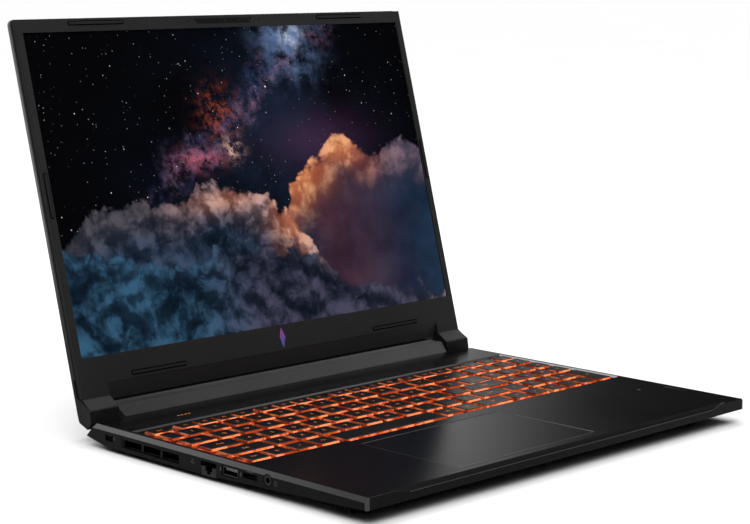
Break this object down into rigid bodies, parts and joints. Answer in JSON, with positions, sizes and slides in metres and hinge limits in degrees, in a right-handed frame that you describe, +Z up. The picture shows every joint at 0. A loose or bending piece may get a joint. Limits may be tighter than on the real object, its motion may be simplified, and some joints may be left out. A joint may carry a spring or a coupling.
{
  "type": "laptop computer",
  "caption": "Open laptop computer with a leaning screen, backlit keyboard with a number block, click touchpad, side and rear ports and twin cooling fans.",
  "frame": {"origin": "on the desk, under the centre of the open laptop's bounding box", "axes": "+X to the user's right, +Y away from the user, +Z up"},
  "size_m": [0.3572, 0.3356, 0.2708],
  "materials": {
    "deck_coating": "soft matte coating",
    "base_plastic": "matte",
    "bar_plastic": "matte",
    "rubber": "matte",
    "black_steel": "blackened",
    "light_guide": "translucent",
    "touch_glass": "satin",
    "port_plastic": "matte",
    "port_steel": "plated",
    "circuit_board": "solder resist",
    "chip": "satin",
    "copper": "satin",
    "fin_copper": "satin",
    "fan_plastic": "matte",
    "blade_plastic": "satin",
    "battery_wrap": "matte film",
    "hinge_steel": "satin",
    "lid_metal": "dark bead blasted",
    "bezel_plastic": "fine texture",
    "display": "matte display film",
    "keycap": "matte, translucent sides"
  },
  "bodies": {
    "base": {"audio_jack": "port_plastic", "backlight_sheet": "light_guide", "battery": "battery_wrap", "bottom_cover": "base_plastic", "bottom_screws": "black_steel", "card_reader": "port_plastic", "cold_plate": "copper", "dc_power_jack": "port_plastic", "exhaust_bar": "bar_plastic", "fan_housing_left": "fan_plastic", "fan_housing_right": "fan_plastic", "hdmi_port": "port_steel", "heat_pipes": "copper", "hinge_bracket_left": "hinge_steel", "hinge_bracket_right": "hinge_steel", "keyboard_plate": "black_steel", "lock_slot": "port_steel", "memory_modules": "circuit_board", "motherboard": "circuit_board", "processor_chips": "chip", "rear_fins": "fin_copper", "rj45_jack": "port_plastic", "rubber_feet": "rubber", "side_fins": "fin_copper", "solid_state_drive": "circuit_board", "speakers": "fan_plastic", "top_deck": "deck_coating", "usb_a_port_left": "port_steel", "usb_a_ports_right": "port_steel", "usb_c_port": "port_steel", "wireless_card": "circuit_board"},
    "lid": {"lid_back_cover": "lid_metal", "screen_bezel": "bezel_plastic", "lcd_panel": "display", "webcam_module": "chip", "lid_bumpers": "rubber", "hinge_shaft_left": "hinge_steel", "hinge_shaft_right": "hinge_steel", "hinge_arm_left": "hinge_steel", "hinge_arm_right": "hinge_steel"},
    "touchpad": {"touchpad": "touch_glass"},
    "rj45_jaw": {"rj45_jaw": "base_plastic"},
    "fan_impeller_left": {"fan_impeller_left": "blade_plastic"},
    "fan_impeller_right": {"fan_impeller_right": "blade_plastic"},
    "function_keys": {"function_keys": "keycap"},
    "power_key": {"power_key": "keycap"},
    "number_row_keys": {"number_row_keys": "keycap"},
    "backspace_key": {"backspace_key": "keycap"},
    "upper_row_keys": {"upper_row_keys": "keycap"},
    "home_row_keys": {"home_row_keys": "keycap"},
    "enter_key": {"enter_key": "keycap"},
    "left_shift_key": {"left_shift_key": "keycap"},
    "lower_row_keys": {"lower_row_keys": "keycap"},
    "right_shift_key": {"right_shift_key": "keycap"},
    "bottom_row_keys": {"bottom_row_keys": "keycap"},
    "space_bar": {"space_bar": "keycap"},
    "arrow_keys": {"arrow_keys": "keycap"},
    "number_pad_keys": {"number_pad_keys": "keycap"}
  },
  "joints": [
    {"name": "lid_hinge", "type": "hinge", "parent": "base", "child": "lid", "pos_m": [0, 0.09368, 0.01899], "axis": [1, 0, 0], "range_deg": [-16.5, 105.17]},
    {"name": "touchpad_click", "type": "hinge", "parent": "base", "child": "touchpad", "pos_m": [-0.03115, -0.07705, 0.01505], "axis": [1, 0, 0], "range_deg": [0, 0.35], "stiffness_Nm_per_rad": 8, "springref_deg": -0.46},
    {"name": "rj45_jaw_drop", "type": "hinge", "parent": "base", "child": "rj45_jaw", "pos_m": [-0.1655, -0.03225, 0.0036], "axis": [0, -1, 0], "range_deg": [0, 9], "stiffness_Nm_per_rad": 0.02, "springref_deg": -2.86},
    {"name": "fan_left_spin", "type": "hinge", "parent": "base", "child": "fan_impeller_left", "pos_m": [-0.112, 0.02605, 0.008], "axis": [0, 0, 1], "continuous": true},
    {"name": "fan_right_spin", "type": "hinge", "parent": "base", "child": "fan_impeller_right", "pos_m": [0.112, 0.02605, 0.008], "axis": [0, 0, 1], "continuous": true},
    {"name": "function_keys_press", "type": "slide", "parent": "base", "child": "function_keys", "axis": [0, 0, -1], "range_m": [0, 0.0015], "stiffness_N_per_m": 400, "springref_m": -0.001},
    {"name": "power_key_press", "type": "slide", "parent": "base", "child": "power_key", "axis": [0, 0, -1], "range_m": [0, 0.0015], "stiffness_N_per_m": 400, "springref_m": -0.001},
    {"name": "number_row_keys_press", "type": "slide", "parent": "base", "child": "number_row_keys", "axis": [0, 0, -1], "range_m": [0, 0.0015], "stiffness_N_per_m": 400, "springref_m": -0.001},
    {"name": "backspace_key_press", "type": "slide", "parent": "base", "child": "backspace_key", "axis": [0, 0, -1], "range_m": [0, 0.0015], "stiffness_N_per_m": 400, "springref_m": -0.001},
    {"name": "upper_row_keys_press", "type": "slide", "parent": "base", "child": "upper_row_keys", "axis": [0, 0, -1], "range_m": [0, 0.0015], "stiffness_N_per_m": 400, "springref_m": -0.001},
    {"name": "home_row_keys_press", "type": "slide", "parent": "base", "child": "home_row_keys", "axis": [0, 0, -1], "range_m": [0, 0.0015], "stiffness_N_per_m": 400, "springref_m": -0.001},
    {"name": "enter_key_press", "type": "slide", "parent": "base", "child": "enter_key", "axis": [0, 0, -1], "range_m": [0, 0.0015], "stiffness_N_per_m": 400, "springref_m": -0.001},
    {"name": "left_shift_key_press", "type": "slide", "parent": "base", "child": "left_shift_key", "axis": [0, 0, -1], "range_m": [0, 0.0015], "stiffness_N_per_m": 400, "springref_m": -0.001},
    {"name": "lower_row_keys_press", "type": "slide", "parent": "base", "child": "lower_row_keys", "axis": [0, 0, -1], "range_m": [0, 0.0015], "stiffness_N_per_m": 400, "springref_m": -0.001},
    {"name": "right_shift_key_press", "type": "slide", "parent": "base", "child": "right_shift_key", "axis": [0, 0, -1], "range_m": [0, 0.0015], "stiffness_N_per_m": 400, "springref_m": -0.001},
    {"name": "bottom_row_keys_press", "type": "slide", "parent": "base", "child": "bottom_row_keys", "axis": [0, 0, -1], "range_m": [0, 0.0015], "stiffness_N_per_m": 400, "springref_m": -0.001},
    {"name": "space_bar_press", "type": "slide", "parent": "base", "child": "space_bar", "axis": [0, 0, -1], "range_m": [0, 0.0015], "stiffness_N_per_m": 400, "springref_m": -0.001},
    {"name": "arrow_keys_press", "type": "slide", "parent": "base", "child": "arrow_keys", "axis": [0, 0, -1], "range_m": [0, 0.0015], "stiffness_N_per_m": 400, "springref_m": -0.001},
    {"name": "number_pad_keys_press", "type": "slide", "parent": "base", "child": "number_pad_keys", "axis": [0, 0, -1], "range_m": [0, 0.0015], "stiffness_N_per_m": 400, "springref_m": -0.001}
  ]
}
